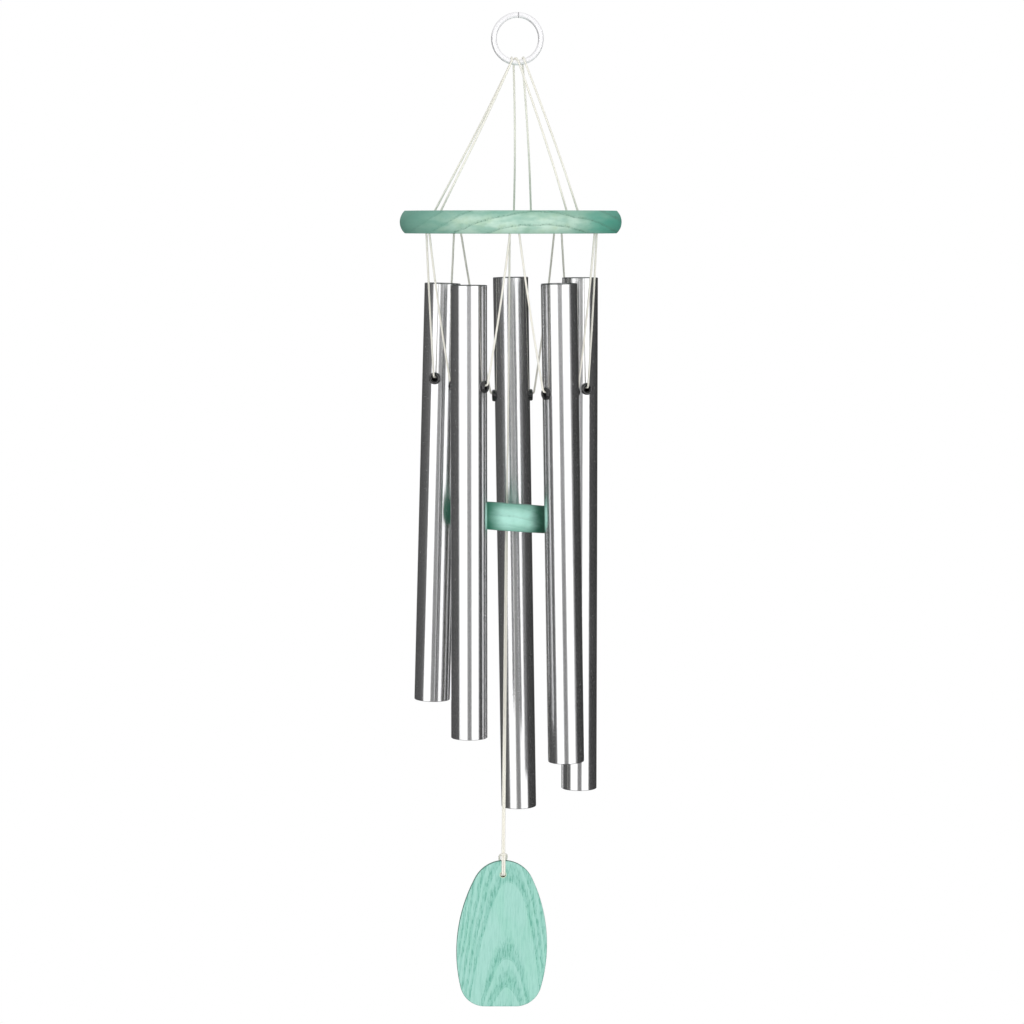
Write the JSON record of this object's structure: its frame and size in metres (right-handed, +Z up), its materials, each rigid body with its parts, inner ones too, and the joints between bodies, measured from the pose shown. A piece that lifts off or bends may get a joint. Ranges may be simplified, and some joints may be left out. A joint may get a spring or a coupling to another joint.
{
  "type": "wind chime",
  "caption": "Wind chime: tuned metal tubes hung on cord from a stained wooden disc, with a wooden striker, a flat wooden wind sail and a wire hanging ring.",
  "frame": {"origin": "centre of the hanging ring", "axes": "+Z up, +Y along the ring's axis towards the back, +X to the right"},
  "size_m": [0.136, 0.136, 0.6182],
  "materials": {
    "bright_wire": "bright plated round wire",
    "stained_ash": "open-grained ash with a thin blue-green stain, satin",
    "satin_tube": "satin, fine brush lines round the tube",
    "black_rubber": "smooth black rubber",
    "cord": "waxed braided cord, ivory"
  },
  "bodies": {
    "ring": {"hanging_ring": "bright_wire"},
    "canopy": {"top_disc": "stained_ash", "suspension_cord_left": "cord", "suspension_cord_middle": "cord", "suspension_cord_right": "cord", "suspension_stitch_left": "cord", "suspension_stitch_back": "cord", "suspension_stitch_right": "cord", "tube_cord_stitch_1": "cord", "tube_cord_stitch_2": "cord", "tube_cord_stitch_3": "cord", "tube_cord_stitch_4": "cord", "tube_cord_stitch_5": "cord"},
    "tube_1_hanger": {"tube_1_cord": "cord"},
    "tube_1": {"tube_1": "satin_tube", "tube_1_left_grommet": "black_rubber", "tube_1_right_grommet": "black_rubber"},
    "tube_2_hanger": {"tube_2_cord": "cord"},
    "tube_2": {"tube_2": "satin_tube", "tube_2_left_grommet": "black_rubber", "tube_2_right_grommet": "black_rubber"},
    "tube_3_hanger": {"tube_3_cord": "cord"},
    "tube_3": {"tube_3": "satin_tube", "tube_3_left_grommet": "black_rubber", "tube_3_right_grommet": "black_rubber"},
    "tube_4_hanger": {"tube_4_cord": "cord"},
    "tube_4": {"tube_4": "satin_tube", "tube_4_left_grommet": "black_rubber", "tube_4_right_grommet": "black_rubber"},
    "tube_5_hanger": {"tube_5_cord": "cord"},
    "tube_5": {"tube_5": "satin_tube", "tube_5_left_grommet": "black_rubber", "tube_5_right_grommet": "black_rubber"},
    "centre_knot": {"centre_knot": "cord"},
    "centre_cord": {"striker_cord": "cord"},
    "striker": {"striker": "stained_ash"},
    "striker_knot": {"striker_knot": "cord"},
    "sail_cord": {"sail_cord": "cord"},
    "sail": {"wind_sail": "stained_ash", "sail_hitch": "cord"}
  },
  "joints": [
    {"name": "canopy_swing", "type": "hinge", "parent": "ring", "child": "canopy", "pos_m": [0, 0, -0.01409], "axis": [1, 0, 0], "range_deg": [-15, 15]},
    {"name": "tube_1_swing", "type": "hinge", "parent": "canopy", "child": "tube_1_hanger", "pos_m": [-0.00606, 0.04496, -0.11895], "axis": [0.999, 0.0436, 0], "range_deg": [-0.8, 12]},
    {"name": "tube_1_tilt", "type": "hinge", "parent": "tube_1_hanger", "child": "tube_1", "pos_m": [-0.00307, 0.04509, -0.22007], "axis": [0.999, 0.0436, 0], "range_deg": [-0.4, 8]},
    {"name": "tube_2_swing", "type": "hinge", "parent": "canopy", "child": "tube_2_hanger", "pos_m": [0.03843, 0.0159, -0.11895], "axis": [0.3502, -0.9367, 0], "range_deg": [-0.8, 12]},
    {"name": "tube_2_tilt", "type": "hinge", "parent": "tube_2_hanger", "child": "tube_2", "pos_m": [0.03884, 0.01477, -0.21385], "axis": [0.3502, -0.9367, 0], "range_deg": [-0.4, 8]},
    {"name": "tube_3_swing", "type": "hinge", "parent": "canopy", "child": "tube_3_hanger", "pos_m": [0.02391, -0.03522, -0.11895], "axis": [-0.7826, -0.6225, 0], "range_deg": [-0.8, 12]},
    {"name": "tube_3_tilt", "type": "hinge", "parent": "tube_3_hanger", "child": "tube_3", "pos_m": [0.02618, -0.03341, -0.21413], "axis": [-0.7826, -0.6225, 0], "range_deg": [-0.4, 8]},
    {"name": "tube_4_swing", "type": "hinge", "parent": "canopy", "child": "tube_4_hanger", "pos_m": [-0.02894, -0.03753, -0.11895], "axis": [-0.8339, 0.5519, 0], "range_deg": [-0.8, 12]},
    {"name": "tube_4_tilt", "type": "hinge", "parent": "tube_4_hanger", "child": "tube_4", "pos_m": [-0.02935, -0.03725, -0.21], "axis": [-0.8339, 0.5519, 0], "range_deg": [-0.4, 8]},
    {"name": "tube_5_swing", "type": "hinge", "parent": "canopy", "child": "tube_5_hanger", "pos_m": [-0.04785, 0.01213, -0.11895], "axis": [0.2672, 0.9636, 0], "range_deg": [-0.8, 12]},
    {"name": "tube_5_tilt", "type": "hinge", "parent": "tube_5_hanger", "child": "tube_5", "pos_m": [-0.04785, 0.01213, -0.20719], "axis": [0.2672, 0.9636, 0], "range_deg": [-0.4, 8]},
    {"name": "striker_swing_front_back", "type": "hinge", "parent": "canopy", "child": "centre_knot", "pos_m": [-0.0048, 0, -0.1181], "axis": [1, 0, 0], "range_deg": [-1, 1]},
    {"name": "striker_swing_sideways", "type": "hinge", "parent": "centre_knot", "child": "centre_cord", "pos_m": [-0.0048, 0, -0.1181], "axis": [0, 1, 0], "range_deg": [-1.2, 1.2]},
    {"name": "striker_spin", "type": "hinge", "parent": "centre_cord", "child": "striker", "pos_m": [-0.0066, 0, -0.29279], "axis": [0.073, 0.0872, 0.9935], "continuous": true},
    {"name": "sail_swing_front_back", "type": "hinge", "parent": "centre_cord", "child": "striker_knot", "pos_m": [-0.00666, 0, -0.29859], "axis": [1, 0, 0], "range_deg": [-5.5, 5.5]},
    {"name": "sail_swing_sideways", "type": "hinge", "parent": "striker_knot", "child": "sail_cord", "pos_m": [-0.00666, 0, -0.29859], "axis": [0, 1, 0], "range_deg": [-5.5, 5.5]},
    {"name": "sail_twist", "type": "hinge", "parent": "sail_cord", "child": "sail", "pos_m": [-0.00877, 0, -0.50368], "axis": [0.0103, 0, 0.9999], "continuous": true}
  ]
}
